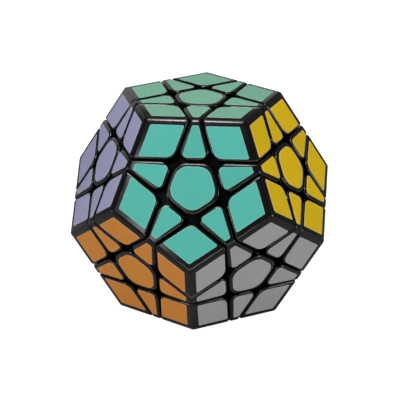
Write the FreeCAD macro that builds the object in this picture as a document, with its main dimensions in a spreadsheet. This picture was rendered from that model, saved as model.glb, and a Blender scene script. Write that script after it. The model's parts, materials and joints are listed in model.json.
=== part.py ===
# Twisty dodecahedron puzzle: a core with twelve sprung screws, and centre, edge and corner pieces that
# turn in layers about the twelve face axes. Millimetres, +Z up, resting on a face, origin in its middle.
import FreeCAD, Part
import math
import os
import re

from FreeCAD import Placement, Rotation, Vector

os.makedirs("parts", exist_ok=True)
doc = FreeCAD.newDocument("TwistyDodecahedron")

# ------------------------------------------------------------------------------------ driving dimensions
# Distances called "along the axis" are measured from the middle of the core.
DIMENSIONS = {
    "edge_length": 30.0,  # edge of the dodecahedron
    "cut_distance": 21.81,  # along the axis, to the plane on which a layer turns
    "running_gap": 0.4,  # between a turning layer and the pieces that stay behind
    "outer_edge_round": 1.1,  # along the edges of the dodecahedron
    "rim_round": 0.55,  # around the rim of every tile
    "centre_plan_round": 4.4,  # corners of a centre tile
    "edge_plan_round": 2.3,  # inner corners of an edge tile
    "corner_plan_round": 4.2,  # inner corners of a corner tile
    "wall": 1.4,  # hollow caps
    "cap_seam": 31.0,  # along the axis of an edge or corner piece, where its cap meets its base
    "centre_seam": 32.2,  # along the axis of a centre piece, where its thin cap meets its body
    "shoulder": 27.0,  # along the axis of a centre piece, above which its sides stand upright
    "peg_radius": 1.3,  # peg under a cap that is glued into its base
    "peg_bottom": 26.2,
    "peg_sink": 1.2,  # from a face to the nearest point of the peg's top
    "peg_play": 0.05,
    "neck_angle": 43.0,  # half angle of the cone on which the necks run
    "foot_angle": 50.0,  # half angle of the cone that the feet reach out to
    "neck_top": 30.2,  # radius at which the necks are inside the tiles
    "foot_top": 20.5,  # radius of the sphere on which the feet slide
    "foot_bottom": 16.1,
    "core_radius": 11.0,
    "post_radius": 3.8,
    "post_top": 15.0,
    "screw_radius": 1.45,
    "screw_play": 0.08,
    "screw_bottom": 6.5,
    "screw_hole_bottom": 6.0,
    "head_radius": 2.9,
    "head_height": 1.9,
    "head_round": 0.5,
    "recess_width": 0.8,
    "recess_length": 3.4,
    "recess_depth": 1.1,
    "washer_bottom": 26.5,
    "washer_thick": 0.5,
    "washer_radius": 3.0,
    "washer_bore": 1.6,
    "spring_seat": 21.6,  # along the axis, floor of the well that takes spring, washer and screw head
    "spring_radius": 2.3,  # to the middle of the wire
    "wire_radius": 0.3,
    "spring_play": 0.03,
    "spring_half_turns": 7,
    "well_radius": 6.0,
    "stalk_bottom": 15.4,
    "stalk_radius": 3.4,
    "stalk_bore": 1.7,
    "spigot_depth": 2.2,  # ring under a centre cap that presses into the well
    "spigot_wall": 1.0,
    "spigot_play": 0.03,
    "sticker_thick": 0.15,
    "pentagon_inset": 1.35,  # from the cuts around a centre tile
    "pentagon_round": 4.2,
    "trapezoid_inset": 1.35,  # from the cut at the inner end of an edge tile
    "trapezoid_outer_inset": 1.8,  # from the edge of the dodecahedron
    "trapezoid_inner_width": 7.7,
    "trapezoid_outer_width": 1.95,
    "trapezoid_round": 1.2,  # inner corners
    "kite_inset": 1.15,  # from the cuts beside a corner tile
    "kite_outer_inset": 2.0,  # from the edges of the dodecahedron
    "kite_round": 3.2,  # inner corner
    "sticker_outer_round": 0.5,  # corners by the edge of the dodecahedron
}

sheet = doc.addObject("Spreadsheet::Sheet", "Dimensions")
for row, (alias, value) in enumerate(DIMENSIONS.items(), start=1):
    sheet.set(f"A{row}", alias)
    sheet.set(f"B{row}", str(value))
    sheet.setAlias(f"B{row}", alias)
doc.recompute()


def from_sheet(word):
    return f"Dimensions.{word[0]}" if word[0] in DIMENSIONS else word[0]


def cell(text):
    """An expression in which each word that is an alias is read from the sheet."""
    return re.sub(r"(?<!\.)\b\w+", from_sheet, text)


# Distances that follow from the dodecahedron's edge length and from the cut
INRADIUS = cell("(edge_length * sqrt(250 + 110 * sqrt(5)) / 20)")
APOTHEM = cell("(edge_length / (2 * tan(36 deg)))")  # of a face
CUT_APOTHEM = cell(f"((sqrt(5) * cut_distance - {INRADIUS}) / 2)")  # face centre to a cut
WIDE = cell("(4 * edge_length)")  # wider than the whole puzzle
LAYER_FLOOR = cell("(cut_distance + running_gap / 2)")
LAYER_CEILING = cell("(cut_distance - running_gap / 2)")

# ------------------------------------------------------------------------------------ the twelve face axes
RING_TILT = math.degrees(math.atan(0.5))  # elevation of the upper ring of faces
FIFTH = 72.0  # degrees between faces of a ring


def direction(azimuth, elevation):
    level = math.cos(math.radians(elevation))
    across = level * math.cos(math.radians(azimuth))
    along = level * math.sin(math.radians(azimuth))
    return Vector(across, along, math.sin(math.radians(elevation)))


UPPER_RING = ("front", "right", "back_right", "back_left", "left")
LOWER_RING = ("lower_right", "lower_back_right", "lower_back", "lower_back_left", "lower_left")
AXES = {"top": Vector(0, 0, 1), "bottom": Vector(0, 0, -1)}
for place in range(5):
    AXES[UPPER_RING[place]] = direction(FIFTH * place - 90, RING_TILT)
    AXES[LOWER_RING[place]] = direction(FIFTH * place - 54, -RING_TILT)

COLOURS = {
    "top": "sea_green",
    "front": "turquoise",
    "right": "yellow",
    "back_right": "red",
    "back_left": "blue",
    "left": "lavender",
    "lower_right": "grey",
    "lower_back_right": "pink",
    "lower_back": "sky_blue",
    "lower_back_left": "cream",
    "lower_left": "orange",
    "bottom": "white",
}

# Layers that turn as bodies of their own. No two of these faces touch, so they share no piece.
TURNING = ("top", "lower_right", "lower_back_left")


def touching(one, other):
    return abs(AXES[one].dot(AXES[other]) - 1 / math.sqrt(5)) < 0.01


EDGES = [(one, other) for one in AXES for other in AXES if one < other and touching(one, other)]
CORNERS = [
    (one, other, third)
    for one in AXES
    for other in AXES
    for third in AXES
    if one < other
    and one < third
    and touching(one, other)
    and touching(other, third)
    and touching(third, one)
    and AXES[one].cross(AXES[other]).dot(AXES[third]) > 0
]


def seat_on(face, toward):
    """Placement that turns +Z to a face's axis, with local +X toward a neighbouring face."""
    upright = AXES[face]
    ahead = AXES[toward] - upright * AXES[toward].dot(upright)
    ahead.normalize()
    return Placement(Vector(), Rotation(ahead, upright.cross(ahead), upright, "ZXY"))


def any_neighbour(face):
    return next(other for other in AXES if touching(face, other))


# Local axes used to model one piece of each kind: its own face is +Z, and the neighbours stand around it
OWN_AXIS = Vector(0, 0, 1)
NEIGHBOURS = [direction(FIFTH * place, RING_TILT) for place in range(5)]
EDGE_AXIS = (OWN_AXIS + NEIGHBOURS[0]).normalize()
CORNER_AXIS = (OWN_AXIS + NEIGHBOURS[0] + NEIGHBOURS[1]).normalize()


# ------------------------------------------------------------------------------------ small modelling helpers
def bind(thing, **sizes):
    for name, expression in sizes.items():
        thing.setExpression(name.replace("__", "."), expression)
    return thing


def copy_at(source, placement):
    """Another instance of an object, at a placement of its own."""
    link = doc.addObject("App::Link", f"{source.Name}_copy")
    link.setLink(source)
    link.LinkTransform = True
    link.Placement = placement
    return link


def tilted(source, axis):
    """Another instance of an object, with its +Z turned to an axis."""
    return copy_at(source, Placement(Vector(), Rotation(OWN_AXIS, axis)))


def slab(name, low, high):
    """A wide plate between two distances along +Z."""
    box = doc.addObject("Part::Box", name)
    bind(box, Length=WIDE, Width=WIDE, Height=f"{high} - {low}")
    bind(box, Placement__Base__x=f"-{WIDE} / 2", Placement__Base__y=f"-{WIDE} / 2")
    return bind(box, Placement__Base__z=low)


def rod(name, radius, low, high):
    cylinder = doc.addObject("Part::Cylinder", name)
    return bind(cylinder, Radius=radius, Height=f"{high} - {low}", Placement__Base__z=low)


def ball(name, radius):
    return bind(doc.addObject("Part::Sphere", name), Radius=radius)


def cone(name, half_angle, shift):
    """A wide cone that opens along +Z, its point moved along Z by shift."""
    body = doc.addObject("Part::Cone", name)
    body.Radius1 = 0
    return bind(body, Height=WIDE, Radius2=f"{WIDE} * tan({half_angle} * 1 deg)", Placement__Base__z=shift)


def common(name, *shapes):
    result = doc.addObject("Part::MultiCommon", name)
    result.Shapes = list(shapes)
    return result


def fuse(name, *shapes):
    result = doc.addObject("Part::MultiFuse", name)
    result.Shapes = list(shapes)
    return result


def cut(name, base, *tools):
    """A solid less its tools, which are taken away one after another."""
    for tool in tools:
        result = doc.addObject("Part::Cut", name)
        result.Base = base
        result.Tool = tool
        base = result
    return base


gauge = doc.addObject("Part::Vertex", "gauge")


def value(expression):
    """The number that an expression over the sheet gives now, read off the gauge point."""
    bind(gauge, X=expression)
    gauge.recompute()
    return gauge.X.Value


def on_plane(edge, axis, distance):
    middle = edge.valueAt((edge.FirstParameter + edge.LastParameter) / 2)
    return abs(middle.dot(axis) - distance) < 0.001


def rounded(name, base, steps):
    """A body that takes a solid and rounds it in steps, each a radius and a test that picks edges."""
    body = doc.addObject("PartDesign::Body", name)
    body.BaseFeature = base
    doc.recompute()
    for number, (radius, chosen) in enumerate(steps, start=1):
        last = body.Tip
        names = [f"Edge{n}" for n, edge in enumerate(last.Shape.Edges, start=1) if chosen(edge)]
        fillet = body.newObject("PartDesign::Fillet", f"{name}_round{number}")
        fillet.Base = (last, names)
        fillet.setExpression("Radius", f"Dimensions.{radius}")
        doc.recompute()
    return body


# ------------------------------------------------------------------------------------ shared tools
GAP_ALONG_CONE = "Dimensions.running_gap / 2 / sin({} * 1 deg)"
NECK_SHIFT = GAP_ALONG_CONE.format("Dimensions.neck_angle")
FOOT_SHIFT = GAP_ALONG_CONE.format("Dimensions.foot_angle")

layer_plate = slab("layer_plate", LAYER_FLOOR, INRADIUS)
centre_plate = slab("centre_plate", cell("foot_bottom"), INRADIUS)
staying_plate = slab("staying_plate", f"(-{WIDE})", LAYER_CEILING)
neck_cone = cone("neck_cone", "Dimensions.neck_angle", NECK_SHIFT)
foot_cone = cone("foot_cone", "Dimensions.foot_angle", FOOT_SHIFT)
neck_ball = ball("neck_ball", cell("neck_top"))
foot_ball = ball("foot_ball", cell("foot_top - running_gap / 2"))
inner_ball = ball("inner_ball", cell("foot_bottom"))
flange_ball = ball("flange_ball", cell("foot_top + running_gap / 2"))
socket = rod("socket", cell("peg_radius + peg_play"), cell("(peg_bottom - peg_play)"), WIDE)
above_seam = slab("above_seam", cell("cap_seam"), WIDE)
below_seam = slab("below_seam", f"(-{WIDE})", cell("cap_seam"))


def sweep_of_layer():
    """What a turning layer's necks and feet sweep, grown by the gap, about +Z."""
    grown_neck = cone("grown_neck", "Dimensions.neck_angle", f"-{NECK_SHIFT}")
    grown_foot = cone("grown_foot", "Dimensions.foot_angle", f"-{FOOT_SHIFT}")
    return fuse("layer_sweep", grown_neck, common("layer_foot_sweep", grown_foot, flange_ball))


layer_sweep = sweep_of_layer()


def necks_and_feet(name, axes):
    """Neck and foot inside the cones of every layer that a piece belongs to."""
    neck = common(f"{name}_neck", neck_ball, *[tilted(neck_cone, axis) for axis in axes])
    foot = common(f"{name}_foot", foot_ball, *[tilted(foot_cone, axis) for axis in axes])
    return neck, foot


def tile_block(name, plate, own, sides, plan_round):
    """A solid tile: plates under its own faces, less the layers beside it, rounded in plan and on its rim."""
    plates = [tilted(plate, axis) for axis in own]
    plates += [tilted(staying_plate, axis) for axis in sides]
    block = common(f"{name}_sharp", *plates)

    def on_outside(edge):
        return sum(on_plane(edge, axis, value(INRADIUS)) for axis in own)

    def on_cuts(edge):
        floors = sum(on_plane(edge, axis, value(LAYER_FLOOR)) for axis in own)
        return floors + sum(on_plane(edge, axis, value(LAYER_CEILING)) for axis in sides)

    steps = [
        (plan_round, lambda edge: on_cuts(edge) == 2),
        ("outer_edge_round", lambda edge: on_outside(edge) == 2),
        ("rim_round", lambda edge: on_outside(edge) == 1 and on_cuts(edge) == 1),
    ]
    return rounded(f"{name}_block", block, steps if len(own) > 1 else [steps[0], steps[2]])


# ------------------------------------------------------------------------------------ corner pieces
def corner_piece():
    """Cap and base of one corner piece, which turns with three layers."""
    axes = [OWN_AXIS, NEIGHBOURS[0], NEIGHBOURS[1]]
    block = tile_block("corner", layer_plate, axes, [], "corner_plan_round")
    cavity = common("corner_cavity", *[tilted(cavity_plate, axis) for axis in axes])
    whole = cut("corner_whole", fuse("corner_solid", block, *necks_and_feet("corner", axes)), inner_ball)
    return split_in_two("corner", whole, cavity, CORNER_AXIS)


# ------------------------------------------------------------------------------------ edge pieces
def edge_piece():
    """Cap and base of one edge piece, which turns with two layers and passes between two more."""
    axes = [OWN_AXIS, NEIGHBOURS[0]]
    sides = [NEIGHBOURS[1], NEIGHBOURS[4]]
    block = tile_block("edge", layer_plate, axes, sides, "edge_plan_round")
    hollow = [tilted(cavity_plate, axis) for axis in axes]
    hollow += [tilted(side_cavity_plate, axis) for axis in sides]
    cavity = common("edge_cavity", *hollow)
    solid = fuse("edge_solid", block, *necks_and_feet("edge", axes))
    whole = cut("edge_whole", solid, inner_ball, *[tilted(layer_sweep, axis) for axis in sides])
    return split_in_two("edge", whole, cavity, EDGE_AXIS)


def split_in_two(name, whole, cavity, axis):
    """Hollow a piece, part it at the seam and join the halves by a peg in a socket."""
    shell = cut(f"{name}_shell", whole, cavity)
    peg_top = cell(f"(({INRADIUS} - peg_sink) / {OWN_AXIS.dot(axis)})")
    peg = rod(f"{name}_peg", cell("peg_radius"), cell("peg_bottom"), peg_top)
    upper = common(f"{name}_upper", shell, tilted(above_seam, axis))
    lower = common(f"{name}_lower", shell, tilted(below_seam, axis))
    cap = fuse(f"{name}_cap", upper, tilted(peg, axis))
    base = cut(f"{name}_base", lower, tilted(socket, axis))
    return cap, base


# ------------------------------------------------------------------------------------ centre pieces
def centre_piece():
    """Cap and body of one centre piece: its flange holds the feet around it, its well holds the spring."""
    block = tile_block("centre", centre_plate, [OWN_AXIS], NEIGHBOURS, "centre_plan_round")
    sweeps = [tilted(layer_sweep, axis) for axis in NEIGHBOURS]
    flanged = cut("centre_flanged", block, flange_ball, *sweeps)
    well = rod("well", cell("well_radius"), cell("spring_seat"), cell("centre_seam"))
    stalk = rod("stalk", cell("stalk_radius"), cell("stalk_bottom"), cell("spring_seat"))
    bore = rod("stalk_hole", cell("stalk_bore"), cell("stalk_bottom"), cell("spring_seat"))
    outline = fuse("centre_outline", upright_tile("turret"), slab("below_shoulder", "0", cell("shoulder")))
    lower = common("centre_lower", flanged, outline, slab("below_centre_seam", "0", cell("centre_seam")))
    body = cut("centre_body", fuse("centre_stalked", lower, stalk), well, bore)

    spigot_foot = cell("(centre_seam - spigot_depth)")
    ring = rod("spigot", cell("well_radius - spigot_play"), spigot_foot, cell("centre_seam"))
    hollow_top = cell(f"({INRADIUS} - wall)")
    hollow = rod("spigot_hollow", cell("well_radius - spigot_wall"), spigot_foot, hollow_top)
    tile = common("centre_tile", upright_tile("lid"), slab("above_centre_seam", cell("centre_seam"), WIDE))
    cap = cut("centre_cap", fuse("centre_spigoted", tile, ring), hollow)
    return cap, body


def upright_tile(name):
    """The top of a centre piece. Its upright sides let the cap be prised out between its neighbours."""
    upright_axes = [direction(FIFTH * place, 0) for place in range(5)]
    reach = cell(f"({CUT_APOTHEM} - running_gap / 2)")
    side = slab(f"{name}_side", f"(-{WIDE})", reach)
    plate = slab(f"{name}_plate", cell("shoulder"), INRADIUS)
    block = common(f"{name}_sharp", plate, *[tilted(side, axis) for axis in upright_axes])

    def on_sides(edge):
        return sum(on_plane(edge, axis, value(reach)) for axis in upright_axes)

    steps = [
        ("centre_plan_round", lambda edge: on_sides(edge) == 2),
        ("rim_round", lambda edge: on_sides(edge) == 1 and on_plane(edge, OWN_AXIS, value(INRADIUS))),
    ]
    return rounded(name, block, steps)


# ------------------------------------------------------------------------------------ core, screws, springs
def core():
    """Ball with a drilled post along every face axis."""
    post = rod("post", cell("post_radius"), "0", cell("post_top"))
    hole = rod("screw_hole", cell("screw_radius + screw_play"), cell("screw_hole_bottom"), cell("post_top"))
    posts = [tilted(post, AXES[face]) for face in AXES]
    solid = fuse("core_solid", ball("core_ball", cell("core_radius")), *posts)
    return cut("core_drilled", solid, *[tilted(hole, AXES[face]) for face in AXES])


def tension_screw():
    """Screw with a pan head and a cross recess."""
    head_bottom = cell("(washer_bottom + washer_thick)")
    head_top = cell("(washer_bottom + washer_thick + head_height)")
    shank = rod("shank", cell("screw_radius"), cell("screw_bottom"), head_bottom)
    head = rod("head", cell("head_radius"), head_bottom, head_top)
    top_rim = [("head_round", lambda edge: on_plane(edge, OWN_AXIS, value(head_top)))]
    solid = rounded("screw_solid", fuse("screw_sharp", head, shank), top_rim)
    arms = []
    for turn in (0, 90):
        arm = doc.addObject("Part::Box", "recess_arm")
        bind(arm, Length=cell("recess_length"), Width=cell("recess_width"), Height=cell("recess_depth"))
        low = cell(f"({head_top} - recess_depth)")
        bind(arm, Placement__Base__x=cell("-recess_length / 2"), Placement__Base__y=cell("-recess_width / 2"))
        bind(arm, Placement__Base__z=low)
        arms.append(copy_at(arm, Placement(Vector(), Rotation(OWN_AXIS, turn))))
    return cut("screw", solid, *arms)


def screw_washer():
    top = cell("(washer_bottom + washer_thick)")
    disc = rod("disc", cell("washer_radius"), cell("washer_bottom"), top)
    return cut("washer", disc, rod("washer_hole", cell("washer_bore"), cell("washer_bottom"), top))


def tension_spring():
    """Wire wound from tilted half rings that meet end to end, each half a pitch above the last."""
    inset = "wire_radius + spring_play"
    rise = value(cell(f"(washer_bottom - spring_seat - 2 * ({inset})) / spring_half_turns"))
    reach = value("Dimensions.spring_radius")
    tilt = math.degrees(math.atan2(rise / 2, reach))
    half_ring = doc.addObject("Part::Torus", "half_coil")
    half_ring.Angle3 = 180
    bind(half_ring, Radius1=cell(f"spring_radius / cos({tilt} * 1 deg)"), Radius2=cell("wire_radius"))
    half_rings = []
    for number in range(DIMENSIONS["spring_half_turns"]):
        height = value(cell(f"spring_seat + {inset}")) + rise * (number + 0.5)
        turned = Rotation(OWN_AXIS, 180 * number) * Rotation(Vector(0, 1, 0), tilt)
        half_rings.append(copy_at(half_ring, Placement(Vector(0, 0, height), turned)))
    return fuse("spring", *half_rings)


# ------------------------------------------------------------------------------------ stickers
def bar(name, low, high):
    """A plate of sticker thickness that lies on the face, between two distances along +X."""
    box = doc.addObject("Part::Box", name)
    bind(box, Length=f"{high} - {low}", Width=WIDE, Height=cell("sticker_thick"))
    return bind(box, Placement__Base__x=low, Placement__Base__y=f"-{WIDE} / 2", Placement__Base__z=INRADIUS)


def swung(source, turns):
    """Another instance, swung about the face axis by a number of fifths."""
    return copy_at(source, Placement(Vector(), Rotation(OWN_AXIS, FIFTH * turns)))


def upright(edge):
    return abs(edge.tangentAt(edge.FirstParameter).z) > 0.999


def across(edge):
    """How far from the face axis an edge stands."""
    return math.hypot(edge.Vertexes[0].X, edge.Vertexes[0].Y)


def centre_sticker():
    side = bar("pentagon_bar", f"(-{WIDE})", cell(f"({CUT_APOTHEM} - pentagon_inset)"))
    pentagon = common("pentagon_sharp", *[swung(side, turns) for turns in range(5)])
    return rounded("pentagon_sticker", pentagon, [("pentagon_round", upright)])


def edge_sticker():
    """A trapezoid that narrows outward a little less than its tile does, made along +Y and turned to +X."""
    inner = cell(f"({CUT_APOTHEM} + trapezoid_inset)")
    outer = cell(f"({APOTHEM} - trapezoid_outer_inset)")
    trapezoid = doc.addObject("Part::Wedge", "trapezoid_sharp")
    top = cell(f"{INRADIUS} + sticker_thick")
    bind(trapezoid, Ymin=inner, Ymax=outer, Zmin=INRADIUS, Zmax=top, Z2min=INRADIUS, Z2max=top)
    bind(trapezoid, Xmin=cell("-trapezoid_inner_width / 2"), Xmax=cell("trapezoid_inner_width / 2"))
    bind(trapezoid, X2min=cell("-trapezoid_outer_width / 2"), X2max=cell("trapezoid_outer_width / 2"))
    middle = value(f"({CUT_APOTHEM} + {APOTHEM}) / 2")
    steps = [
        ("trapezoid_round", lambda edge: upright(edge) and across(edge) < middle),
        ("sticker_outer_round", lambda edge: upright(edge) and across(edge) > middle),
    ]
    sticker = rounded("trapezoid_sticker", trapezoid, steps)
    return copy_at(sticker, Placement(Vector(), Rotation(OWN_AXIS, -90)))


def corner_sticker():
    side = bar("kite_bar", cell(f"({CUT_APOTHEM} + kite_inset)"), cell(f"({APOTHEM} - kite_outer_inset)"))
    kite = common("kite_sharp", swung(side, 0), swung(side, 1))
    inner_reach = value(CUT_APOTHEM) * 2
    steps = [
        ("kite_round", lambda edge: upright(edge) and across(edge) < inner_reach),
        ("sticker_outer_round", lambda edge: upright(edge) and across(edge) > inner_reach),
    ]
    return rounded("kite_sticker", kite, steps)


# ------------------------------------------------------------------------------------ one piece of each kind
cavity_plate = slab("cavity_plate", cell(f"({LAYER_FLOOR} + wall)"), cell(f"({INRADIUS} - wall)"))
side_cavity_plate = slab("side_cavity_plate", f"(-{WIDE})", cell(f"({LAYER_CEILING} - wall)"))
corner_cap, corner_base = corner_piece()
edge_cap, edge_base = edge_piece()
centre_cap, centre_body = centre_piece()
screw, washer, spring = tension_screw(), screw_washer(), tension_spring()
pentagon_sticker, trapezoid_sticker, kite_sticker = centre_sticker(), edge_sticker(), corner_sticker()


# ------------------------------------------------------------------------------------ sub-parts and files
def layer_of(faces):
    """The turning layer that a piece belongs to, or 'fixed' for the group that stays with the core."""
    return next((face for face in faces if face in TURNING), "fixed")


nodes = {}


def add(label, source, placement):
    nodes.setdefault(label, []).append(copy_at(source, placement))


def add_centres():
    for face in AXES:
        here = seat_on(face, any_neighbour(face))
        side = layer_of([face])
        add(f"{side}_centre_caps", centre_cap, here)
        add(f"{side}_centre_bodies", centre_body, here)
        add("tension_screws", screw, here)
        add("screw_washers", washer, here)
        add("tension_springs", spring, here)
        holder = "on_fixed_pieces" if side == "fixed" else "on_centre_cap"
        add(f"{COLOURS[face]}_stickers_{holder}", pentagon_sticker, here)


def add_edges():
    for one, other in EDGES:
        side = layer_of([one, other])
        add(f"{side}_edge_caps", edge_cap, seat_on(one, other))
        add(f"{side}_edge_bases", edge_base, seat_on(one, other))
        for face, neighbour in ((one, other), (other, one)):
            add(sticker_node(face, side), trapezoid_sticker, seat_on(face, neighbour))


def add_corners():
    for faces in CORNERS:
        side = layer_of(faces)
        add(f"{side}_corner_caps", corner_cap, seat_on(faces[0], faces[1]))
        add(f"{side}_corner_bases", corner_base, seat_on(faces[0], faces[1]))
        for place in range(3):
            face, neighbour = faces[place], faces[(place + 1) % 3]
            add(sticker_node(face, side), kite_sticker, seat_on(face, neighbour))


def sticker_node(face, side):
    group = "fixed_pieces" if side == "fixed" else f"{side}_layer"
    return f"{COLOURS[face]}_stickers_on_{group}"


def finish(thing, label):
    """Name a sub-part, check it and write its file."""
    thing.Label = label
    solids = thing.Shape.Solids
    if not solids or not thing.Shape.isValid():
        raise RuntimeError(f"{label} has no valid solid")
    thing.Shape.exportStep(f"parts/{label}.step")
    volume = sum(solid.Volume for solid in solids)
    print(f"{label}: {len(solids)} solids, {volume / 1000:.2f} cm3")


add_centres()
add_edges()
add_corners()
compounds = {}
for label, copies in nodes.items():
    compounds[label] = doc.addObject("Part::Compound", label)
    compounds[label].Links = copies
compounds["core"] = core()
doc.recompute()

for thing in doc.Objects:
    if "Invalid" in thing.State or "Error" in thing.State:
        raise RuntimeError(f"{thing.Name} could not be made: {thing.State}")
for label, thing in compounds.items():
    finish(thing, label)
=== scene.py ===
"""Looks of the dodecahedron twisty puzzle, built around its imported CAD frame. Metres, +Z up."""
import json
import math
import random

import bmesh
import bpy
from mathutils import Matrix, Vector
from mathutils.geometry import convex_hull_2d

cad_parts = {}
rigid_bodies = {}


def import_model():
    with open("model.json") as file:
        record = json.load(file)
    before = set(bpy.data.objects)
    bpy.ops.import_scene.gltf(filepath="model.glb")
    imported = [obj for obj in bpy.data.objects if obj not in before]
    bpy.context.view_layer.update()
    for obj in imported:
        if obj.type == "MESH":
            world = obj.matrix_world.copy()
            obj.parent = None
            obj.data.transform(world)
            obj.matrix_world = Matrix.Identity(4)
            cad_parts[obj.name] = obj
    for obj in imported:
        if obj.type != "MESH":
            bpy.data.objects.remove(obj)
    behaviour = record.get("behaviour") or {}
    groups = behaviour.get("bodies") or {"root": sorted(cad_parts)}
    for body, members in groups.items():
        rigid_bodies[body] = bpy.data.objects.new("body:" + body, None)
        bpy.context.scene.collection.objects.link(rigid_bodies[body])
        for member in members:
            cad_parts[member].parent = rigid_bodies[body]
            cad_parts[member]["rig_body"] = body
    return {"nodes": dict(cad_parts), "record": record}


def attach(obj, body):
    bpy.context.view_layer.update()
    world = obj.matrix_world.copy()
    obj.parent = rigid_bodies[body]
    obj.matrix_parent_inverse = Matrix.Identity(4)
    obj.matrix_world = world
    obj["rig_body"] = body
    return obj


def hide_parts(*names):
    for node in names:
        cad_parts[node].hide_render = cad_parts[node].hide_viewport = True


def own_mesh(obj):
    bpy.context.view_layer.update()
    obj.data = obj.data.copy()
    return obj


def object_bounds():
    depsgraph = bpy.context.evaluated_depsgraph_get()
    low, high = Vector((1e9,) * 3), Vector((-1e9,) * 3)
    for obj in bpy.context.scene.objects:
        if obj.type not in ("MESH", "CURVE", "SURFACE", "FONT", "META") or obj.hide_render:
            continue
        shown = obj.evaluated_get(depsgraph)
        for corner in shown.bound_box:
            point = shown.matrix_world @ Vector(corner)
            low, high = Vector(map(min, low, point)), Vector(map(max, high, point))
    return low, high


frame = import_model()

CAD_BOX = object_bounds()
MM = 0.001

# ---------------------------------------------------------------- sizes that follow from the frame
SMALLEST = CAD_BOX[0]
LARGEST = CAD_BOX[1]
CENTRE = (SMALLEST + LARGEST) / 2
INRADIUS = (LARGEST.z - SMALLEST.z) / 2  # half the distance from face to face, stickers included
CIRCUMRADIUS = INRADIUS * math.sqrt(15 - 6 * math.sqrt(5))  # out to the vertices
FACE_ANGLE = math.atan(2)  # between the axes of neighbouring faces
VERTEX_ANGLE = math.acos(INRADIUS / CIRCUMRADIUS)  # between a face's axis and its vertices
RECORD = frame["record"]
SLOT_OF_NODE = {part["node"]: part["material_slot"] for part in RECORD["subparts"]}
STICKER_NODES = [name for name in frame["nodes"] if "_stickers_" in name]


def linear(channel):
    """One sRGB channel from 0 to 1 as linear light."""
    return channel / 12.92 if channel <= 0.04045 else ((channel + 0.055) / 1.055) ** 2.4


def paint(red, green, blue):
    """A colour given as 0 to 255 per channel, as Blender's linear RGBA."""
    return (linear(red / 255), linear(green / 255), linear(blue / 255), 1.0)


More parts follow.
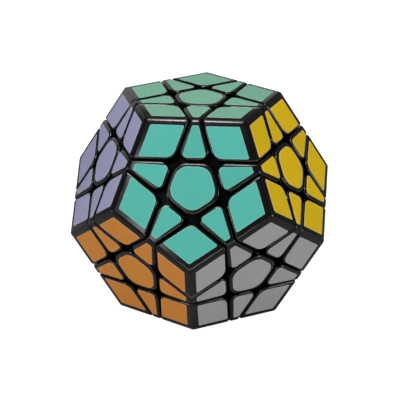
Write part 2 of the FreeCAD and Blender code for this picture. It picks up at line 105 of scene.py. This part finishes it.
# ---------------------------------------------------------------- node helpers
class Nodes:
    """A small wrapper that makes and joins the nodes of one material."""

    def __init__(self, name):
        self.material = bpy.data.materials.new(name)
        self.material.use_nodes = True
        self.tree = self.material.node_tree
        self.surface = self.tree.nodes["Principled BSDF"]

    @classmethod
    def of_tree(cls, tree):
        """The same helpers for a tree that isn't a material's, such as the world's."""
        nodes = cls.__new__(cls)
        nodes.tree = tree
        return nodes

    def add(self, kind, **settings):
        """Add a node. Each setting names one of its properties or, failing that, one of its inputs."""
        node = self.tree.nodes.new(kind)
        for name, setting in settings.items():
            if hasattr(node, name):
                setattr(node, name, setting)
            else:
                node.inputs[name.replace("_", " ")].default_value = setting
        return node

    def join(self, source, target):
        self.tree.links.new(source, target)

    def feed(self, name, source):
        """Lead a socket, or a plain value, to an input of the surface."""
        if isinstance(source, bpy.types.NodeSocket):
            self.join(source, self.surface.inputs[name])
        else:
            self.surface.inputs[name].default_value = source

    def noise(self, size, detail=4.0, roughness=0.5, stretch=(1, 1, 1)):
        """Noise whose blotches are about so many millimetres across, stretched along the object's axes."""
        place = self.add("ShaderNodeTexCoord")
        scaled = self.add("ShaderNodeMapping", vector_type="POINT")
        scaled.inputs["Scale"].default_value = stretch
        noise = self.add("ShaderNodeTexNoise", Scale=1 / (size * MM), Detail=detail, Roughness=roughness)
        self.join(place.outputs["Object"], scaled.inputs["Vector"])
        self.join(scaled.outputs["Vector"], noise.inputs["Vector"])
        return noise.outputs["Fac"]

    def from_middle(self):
        """Distance from the middle of the puzzle, as a share of the middle's distance to a face."""
        place = self.add("ShaderNodeTexCoord")
        distance = self.add("ShaderNodeVectorMath", operation="LENGTH")
        share = self.add("ShaderNodeMath", operation="DIVIDE")
        self.join(place.outputs["Object"], distance.inputs[0])
        self.join(distance.outputs["Value"], share.inputs[0])
        share.inputs[1].default_value = INRADIUS
        return share.outputs["Value"]

    def attribute(self, name):
        """A number that the mesh holds for each of its vertices."""
        return self.add("ShaderNodeAttribute", attribute_name=name).outputs["Fac"]

    def between(self, factor, low, high, start=0.0, end=1.0):
        """Map a factor from start..end to low..high, and hold it at those beyond them."""
        span = self.add("ShaderNodeMapRange")
        self.join(factor, span.inputs["Value"])
        for name, number in (("From Min", start), ("From Max", end), ("To Min", low), ("To Max", high)):
            span.inputs[name].default_value = number
        return span.outputs["Result"]

    def times(self, first, second):
        product = self.add("ShaderNodeMath", operation="MULTIPLY")
        self.join(first, product.inputs[0])
        self.join(second, product.inputs[1])
        return product.outputs["Value"]

    def mix(self, factor, first, second):
        """Mix two colours, each a colour or a socket."""
        blend = self.add("ShaderNodeMix", data_type="RGBA")
        self.join(factor, blend.inputs["Factor"])
        for socket, colour in ((blend.inputs[6], first), (blend.inputs[7], second)):
            if isinstance(colour, bpy.types.NodeSocket):
                self.join(colour, socket)
            else:
                socket.default_value = colour
        return blend.outputs[2]

    def leaning_normal(self, rounding, lean):
        """Normals rounded at rims by a radius in millimetres, leaning away from the middle of the puzzle."""
        soft = self.add("ShaderNodeBevel", samples=8, Radius=rounding * MM)
        place = self.add("ShaderNodeTexCoord")
        outward = self.add("ShaderNodeVectorTransform", vector_type="NORMAL")
        outward.convert_from = "OBJECT"
        outward.convert_to = "WORLD"
        leaned = self.add("ShaderNodeVectorMath", operation="MULTIPLY_ADD")
        whole = self.add("ShaderNodeVectorMath", operation="NORMALIZE")
        self.join(place.outputs["Object"], outward.inputs["Vector"])
        self.join(outward.outputs["Vector"], leaned.inputs[0])
        self.join(lean, leaned.inputs[1])
        self.join(soft.outputs["Normal"], leaned.inputs[2])
        self.join(leaned.outputs["Vector"], whole.inputs[0])
        return whole.outputs["Vector"]

    def bump(self, height, strength, depth, normal=None):
        """Relief whose height is a share of a depth in millimetres."""
        relief = self.add("ShaderNodeBump", Strength=strength, Distance=depth * MM)
        self.join(height, relief.inputs["Height"])
        if normal:
            self.join(normal, relief.inputs["Normal"])
        self.join(relief.outputs["Normal"], self.surface.inputs["Normal"])

    def edges(self, radius):
        """About 1 on edges sharper than a radius in millimetres, 0 on flats."""
        smooth = self.add("ShaderNodeBevel", samples=6, Radius=radius * MM)
        true = self.add("ShaderNodeNewGeometry")
        likeness = self.add("ShaderNodeVectorMath", operation="DOT_PRODUCT")
        self.join(smooth.outputs["Normal"], likeness.inputs[0])
        self.join(true.outputs["Normal"], likeness.inputs[1])
        return self.between(likeness.outputs["Value"], 1.0, 0.0, 0.90, 0.995)


# ---------------------------------------------------------------- materials
# Distances from the middle of the puzzle, as shares of its distance to a face. The rims lie at 1.18.
DULL_WITHIN = 0.95
SHINY_BEYOND = 1.0
LEAN_FROM = 1.09
LEAN_FULL_AT = 1.17
RIM_LEAN = 0.24  # how far normals at the rims lean outward, as a share of their length


def black_plastic():
    """Moulded black plastic: fine grain, patches polished by hands, edges rubbed a little grey.

    It is shiny where hands reach and dull down in the gaps, and its outer margins lean outward a little.
    """
    nodes = Nodes("black_plastic")
    polished = nodes.between(nodes.from_middle(), 0.0, 1.0, DULL_WITHIN, SHINY_BEYOND)
    lean = nodes.between(nodes.from_middle(), 0.0, RIM_LEAN, LEAN_FROM, LEAN_FULL_AT)
    body = nodes.mix(nodes.noise(11.0, 3.0), paint(5, 5, 6), paint(11, 10, 10))
    rubbed = nodes.times(nodes.edges(0.3), nodes.between(nodes.noise(2.4, 5.0), 0.1, 0.8, 0.35, 0.7))
    nodes.feed("Base Color", nodes.mix(rubbed, body, paint(54, 50, 49)))
    nodes.feed("Roughness", nodes.between(nodes.noise(4.0, 5.0), 0.1, 0.22))
    nodes.feed("Specular IOR Level", nodes.between(polished, 0.1, 0.5))
    nodes.bump(nodes.noise(0.35, 2.0), 0.1, 0.03, nodes.leaning_normal(0.8, lean))
    return nodes.material


def core_plastic():
    """Harder, greyer plastic of the core, with a matt spark-eroded finish."""
    nodes = Nodes("core_plastic")
    nodes.feed("Base Color", nodes.mix(nodes.noise(8.0), paint(38, 38, 40), paint(52, 51, 50)))
    nodes.feed("Roughness", nodes.between(nodes.noise(1.0), 0.5, 0.62))
    nodes.bump(nodes.noise(0.5), 0.25, 0.05)
    return nodes.material


def zinc_steel():
    """Zinc-plated steel of screws and washers, faintly cloudy."""
    nodes = Nodes("zinc_steel")
    nodes.feed("Base Color", nodes.mix(nodes.noise(2.0), paint(150, 150, 148), paint(200, 200, 194)))
    nodes.feed("Metallic", 1.0)
    nodes.feed("Roughness", nodes.between(nodes.noise(0.7), 0.25, 0.45))
    nodes.bump(nodes.noise(0.3), 0.1, 0.03)
    return nodes.material


def spring_steel():
    """Drawn wire, darker than the screws, with fine lines round the coil."""
    nodes = Nodes("spring_steel")
    nodes.feed("Base Color", nodes.mix(nodes.noise(1.2), paint(112, 112, 114), paint(165, 165, 162)))
    nodes.feed("Metallic", 1.0)
    nodes.feed("Roughness", nodes.between(nodes.noise(0.6), 0.22, 0.36))
    nodes.bump(nodes.noise(0.2, stretch=(1, 1, 5)), 0.1, 0.02)
    return nodes.material


DIMMEST = 0.86  # the darkest shade of a sticker, as a share of its full colour
EDGE_BACKING_AND_HIGHLIGHT = 0.25  # how much of a cut edge's colour is grey: partly bare backing, partly a painted highlight where the edge catches light
# the grey of a cut edge, standing for its bare backing and for a painted highlight alike
EDGE_BACKING_AND_HIGHLIGHT_GREY = 0.68
VINYL = {
    "turquoise": paint(73, 175, 160),
    "sea_green": paint(126, 191, 161),
    "yellow": paint(223, 187, 0),
    "lavender": paint(163, 164, 199),
    "orange": paint(244, 157, 60),
    "grey": paint(187, 189, 188),
    "white": paint(236, 236, 232),
    "red": paint(196, 44, 46),
    "blue": paint(38, 84, 176),
    "pink": paint(226, 132, 172),
    "sky_blue": paint(110, 178, 224),
    "cream": paint(234, 222, 184),
}


def vinyl(colour):
    """Die-cut coloured vinyl: each sticker a shade of its own, faint orange peel, a paler cut edge that is
    partly grey backing and partly a painted highlight.
    """
    nodes = Nodes(f"{colour}_vinyl")
    full = VINYL[colour]
    dim = tuple(DIMMEST * channel for channel in full[:3]) + (1.0,)
    # the cut edge's colour: grey backing with a painted highlight mixed in
    pale = tuple((1 - EDGE_BACKING_AND_HIGHLIGHT) * channel + EDGE_BACKING_AND_HIGHLIGHT * EDGE_BACKING_AND_HIGHLIGHT_GREY for channel in full[:3]) + (1.0,)
    shade = nodes.mix(nodes.attribute("shade"), dim, full)
    mottled = nodes.mix(nodes.between(nodes.noise(3.5, 3.0), 0.0, 0.5), shade, dim)
    # paler toward each sticker's edge, partly backing and partly painted highlight
    nodes.feed("Base Color", nodes.mix(nodes.attribute("edge_backing_and_highlight"), mottled, pale))
    nodes.feed("Roughness", nodes.between(nodes.noise(2.5, 4.0), 0.34, 0.48))
    nodes.feed("Specular IOR Level", 0.3)
    nodes.bump(nodes.noise(1.1, 3.0), 0.12, 0.03)
    return nodes.material


def dress(thing, material):
    """Give an object one material and no other."""
    thing.data.materials.clear()
    thing.data.materials.append(material)


MATERIALS = {
    "black_plastic": black_plastic(),
    "core_plastic": core_plastic(),
    "zinc_steel": zinc_steel(),
    "spring_steel": spring_steel(),
}
for colour_name in VINYL:
    MATERIALS[f"{colour_name}_vinyl"] = vinyl(colour_name)

for node_name, cad_node in frame["nodes"].items():
    dress(cad_node, MATERIALS[SLOT_OF_NODE[node_name]])

# ---------------------------------------------------------------- separate solids of a node
WELD = 0.001 * MM


def islands(shape):
    """The separate solids of a bmesh, each as a list of its vertices."""
    bmesh.ops.remove_doubles(shape, verts=shape.verts, dist=WELD)
    seen = set()
    found = []
    for start in shape.verts:
        if start in seen:
            continue
        seen.add(start)
        island = [start]
        for vertex in island:
            for edge in vertex.link_edges:
                other = edge.other_vert(vertex)
                if other not in seen:
                    seen.add(other)
                    island.append(other)
        found.append(island)
    return found


def add_piece(name, mesh, node):
    """Show a mesh in place of a CAD node, on the same body and with the same material."""
    piece = bpy.data.objects.new(name, mesh)
    bpy.context.scene.collection.objects.link(piece)
    dress(piece, MATERIALS[SLOT_OF_NODE[node]])
    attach(piece, frame["nodes"][node]["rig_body"])
    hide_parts(node)
    return piece


# ---------------------------------------------------------------- springs, one piece for each centre that floats and one for the rest
SPRINGS = "tension_springs"
SAME_WAY = 0.99  # cosine above which two directions count as one
FLOATS = [joint for joint in RECORD["behaviour"]["joints"] if joint["name"].endswith("_centre_float")]


def part_of_springs(name, wanted):
    """The CAD springs whose direction from the middle satisfies a test, as a piece of their own."""
    shape = bmesh.new()
    shape.from_mesh(frame["nodes"][SPRINGS].data)
    for island in islands(shape):
        middle = sum((vertex.co for vertex in island), Vector()) / len(island)
        if not wanted(middle.normalized()):
            bmesh.ops.delete(shape, geom=island, context="VERTS")
    for face in shape.faces:
        face.smooth = True
    mesh = bpy.data.meshes.new(name)
    shape.to_mesh(mesh)
    shape.free()
    return add_piece(name, mesh, SPRINGS)


def lies_on(direction_out, joint):
    """Whether a direction out from the middle is that of a joint's axis."""
    return direction_out.dot(Vector(joint["axis"])) > SAME_WAY


for centre_float in FLOATS:
    side = centre_float["name"].removesuffix("_centre_float")
    spring = part_of_springs(f"{side}_spring", lambda way: lies_on(way, centre_float))
    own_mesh(spring)
part_of_springs("fixed_springs", lambda way: not any(lies_on(way, joint) for joint in FLOATS))

# ---------------------------------------------------------------- stickers, laid by hand
SLIP = 0.10 * MM  # how far a sticker may be laid from its true place
TWIST = math.radians(0.9)  # how far it may be turned
EDGE_SOFTNESS = 0.06 * MM  # rounding of its upper edge
PALE_AND_HIGHLIT_MARGIN = 0.2 * MM  # within this of its edge it is paler, partly grey backing and partly a painted highlight
FLAT_MARGIN = 0.5 * MM  # and beyond this it has its full colour


def largest_outward(faces):
    """Normal of the largest face that looks away from the middle of the puzzle."""
    outward = [face for face in faces if face.normal.dot(face.calc_center_median() - CENTRE) > 0]
    return max(outward, key=lambda face: face.calc_area()).normal.copy()


def lay_sticker(shape, points, axis, chance):
    """Add one sticker to a bmesh: a closed sheet with a soft edge, inside the outline of some points."""
    across = axis.orthogonal().normalized()
    along = axis.cross(across)
    low = min(point.dot(axis) for point in points)
    high = max(point.dot(axis) for point in points)
    flat = [Vector((point.dot(across), point.dot(along))) for point in points]
    outline = [flat[index] for index in convex_hull_2d(flat)]
    middle = sum(outline, Vector((0, 0))) / len(outline)
    reach = sum((corner - middle).length for corner in outline) / len(outline)
    turn = Matrix.Rotation(chance.uniform(-TWIST, TWIST), 2)
    slip = Vector((chance.uniform(-SLIP, SLIP), chance.uniform(-SLIP, SLIP)))
    shade = chance.random()
    laid = [turn @ (corner - middle) for corner in outline]
    shade_layer = shape.verts.layers.float["shade"]
    backing_and_highlight_layer = shape.verts.layers.float["edge_backing_and_highlight"]

    def ring(inset, height, edge_backing_and_highlight):
        made = []
        for corner in laid:
            place = middle + slip + corner * (1 - inset / reach)
            made.append(shape.verts.new(across * place.x + along * place.y + axis * height))
        for vertex in made:
            vertex[shade_layer] = shade
            vertex[backing_and_highlight_layer] = edge_backing_and_highlight
        return made

    # the last number of each ring is how much backing grey and painted highlight it shows, full at the edge
    # and none inside
    rings = [
        ring(0, low, 1.0),
        ring(0, high - EDGE_SOFTNESS, 1.0),
        ring(0.3 * EDGE_SOFTNESS, high - 0.3 * EDGE_SOFTNESS, 0.8),
        ring(EDGE_SOFTNESS, high, 0.5),
        ring(PALE_AND_HIGHLIT_MARGIN, high, 0.35),
        ring(FLAT_MARGIN, high, 0.0),
    ]
    for lower, upper in zip(rings, rings[1:]):
        for place in range(len(laid)):
            after = (place + 1) % len(laid)
            shape.faces.new((lower[place], lower[after], upper[after], upper[place])).smooth = True
    shape.faces.new(rings[-1])
    shape.faces.new(list(reversed(rings[0])))


def soft_stickers(node):
    """Replace a CAD node's stickers by soft ones that ride on the same body."""
    true = bmesh.new()
    true.from_mesh(frame["nodes"][node].data)
    shape = bmesh.new()
    shape.verts.layers.float.new("shade")
    shape.verts.layers.float.new("edge_backing_and_highlight")
    chance = random.Random(node)
    for island in islands(true):
        faces = {face for vertex in island for face in vertex.link_faces}
        lay_sticker(shape, [vertex.co.copy() for vertex in island], largest_outward(faces), chance)
    true.free()
    bmesh.ops.recalc_face_normals(shape, faces=shape.faces)
    mesh = bpy.data.meshes.new(f"{node}_laid")
    shape.to_mesh(mesh)
    shape.free()
    add_piece(f"{node}_laid", mesh, node)


for sticker_node in STICKER_NODES:
    soft_stickers(sticker_node)


# ---------------------------------------------------------------- floor, light and camera
FLOOR_COLOUR = (0.36, 0.36, 0.36, 1)
BACKDROP_GLOW = 0.9
GLOW_STARTS, GLOW_FULL = 2, 5  # behind the puzzle, in inradii
GLOW_CORE, GLOW_ENDS = 2, 4  # to each side, in inradii
ROOM_FRONT = 0.1
ROOM_BACK = 0.12
ROOM_SPAN = (-0.2, 0.9)  # from directions that point a little forward to ones that point nearly straight back

CAMERA_AZIMUTH = 4.32
CAMERA_ELEVATION = 20.69
CAMERA_ROLL = 0.306
CAMERA_DISTANCE = 0.903
LENS = 261.6  # mm, on a 36 mm sensor
LENS_SHIFT = (-0.0005, -0.0019)  # shares of the picture's width


def direction(azimuth, elevation):
    """Unit vector from the centre; azimuth 0 is toward the viewer at -Y, and grows toward +X."""
    azimuth, elevation = math.radians(azimuth), math.radians(elevation)
    level = math.cos(elevation)
    return Vector((level * math.sin(azimuth), -level * math.cos(azimuth), math.sin(elevation)))


def white_to_camera(nodes, strength):
    """A glow that is full where the camera looks straight at it, and of the given strength for light."""
    path = nodes.add("ShaderNodeLightPath")
    glow = nodes.add("ShaderNodeMix", data_type="FLOAT")
    nodes.join(path.outputs["Is Camera Ray"], glow.inputs["Factor"])
    nodes.join(strength, glow.inputs[2])
    glow.inputs[3].default_value = 1.0
    return glow.outputs[0]


def floor():
    """A plain pale floor, lit up behind the puzzle as a sweep is. The lower layers can turn above it."""
    reach = 40 * INRADIUS
    turned_depth = CIRCUMRADIUS * math.cos(FACE_ANGLE - VERTEX_ANGLE)
    bpy.ops.mesh.primitive_plane_add(size=2 * reach, location=(0, 0, CENTRE.z - turned_depth))
    plane = bpy.context.object
    plane.name = "floor"
    nodes = Nodes("floor_paint")
    nodes.feed("Base Color", FLOOR_COLOUR)
    nodes.feed("Roughness", 0.9)
    nodes.feed("Specular IOR Level", 0.1)
    nodes.feed("Emission Color", (1, 1, 1, 1))
    place = nodes.add("ShaderNodeTexCoord")
    parts = nodes.add("ShaderNodeSeparateXYZ")
    nodes.join(place.outputs["Object"], parts.inputs["Vector"])
    aside = nodes.add("ShaderNodeMath", operation="ABSOLUTE")
    nodes.join(parts.outputs["X"], aside.inputs[0])
    depth = (GLOW_STARTS * INRADIUS, GLOW_FULL * INRADIUS)
    width = (GLOW_CORE * INRADIUS, GLOW_ENDS * INRADIUS)
    behind = nodes.between(parts.outputs["Y"], 0.0, BACKDROP_GLOW, *depth)
    central = nodes.between(aside.outputs["Value"], 1.0, 0.0, *width)
    nodes.feed("Emission Strength", white_to_camera(nodes, nodes.times(behind, central)))
    dress(plane, nodes.material)


def softbox(name, azimuth, elevation, distance, sides, power):
    """A softbox of a width and a height, aimed at the middle of the puzzle. Degrees, metres and watts."""
    data = bpy.data.lights.new(name, "AREA")
    data.shape = "RECTANGLE"
    data.size, data.size_y = sides
    data.energy = power
    lamp = bpy.data.objects.new(name, data)
    lamp.location = CENTRE + distance * direction(azimuth, elevation)
    lamp.rotation_euler = (CENTRE - lamp.location).to_track_quat("-Z", "Y").to_euler()
    bpy.context.scene.collection.objects.link(lamp)


def room():
    """A studio that is a little paler behind the puzzle. The camera itself sees plain white."""
    world = bpy.data.worlds.new("room")
    bpy.context.scene.world = world
    world.use_nodes = True
    nodes = Nodes.of_tree(world.node_tree)
    place = nodes.add("ShaderNodeTexCoord")
    parts = nodes.add("ShaderNodeSeparateXYZ")
    nodes.join(place.outputs["Generated"], parts.inputs["Vector"])
    depth = nodes.between(parts.outputs["Y"], ROOM_FRONT, ROOM_BACK, *ROOM_SPAN)
    background = world.node_tree.nodes["Background"]
    background.inputs["Color"].default_value = (1, 1, 1, 1)
    nodes.join(white_to_camera(nodes, depth), background.inputs["Strength"])


def camera():
    """A long lens, a little above the puzzle, turned a trace about its own axis."""
    data = bpy.data.cameras.new("camera")
    data.lens = LENS
    data.sensor_width = 36
    data.shift_x, data.shift_y = LENS_SHIFT
    seer = bpy.data.objects.new("camera", data)
    back = direction(CAMERA_AZIMUTH, CAMERA_ELEVATION)
    seer.location = CENTRE + CAMERA_DISTANCE * back
    turn = (-back).to_track_quat("-Z", "Y").to_matrix().to_4x4()
    seer.rotation_euler = (turn @ Matrix.Rotation(math.radians(CAMERA_ROLL), 4, "Z")).to_euler()
    bpy.context.scene.collection.objects.link(seer)
    bpy.context.scene.camera = seer


floor()
room()
softbox("key_light", -8, 61, 0.7, (0.2, 0.15), 2.8)
softbox("left_light", -14, 28, 0.7, (0.1, 0.25), 0.4)
softbox("side_light", -62, 4, 0.7, (0.14, 0.1), 0.9)
softbox("right_light", 75, 8, 0.7, (0.25, 0.25), 1.6)
softbox("low_light", 4, 4, 0.7, (0.5, 0.06), 0.7)
softbox("overhead_light", 0, 88, 0.6, (0.4, 0.4), 0.6)
softbox("rear_light", -160, 12, 0.7, (0.62, 0.38), 0.3)
camera()
bpy.context.scene.view_settings.view_transform = "Standard"
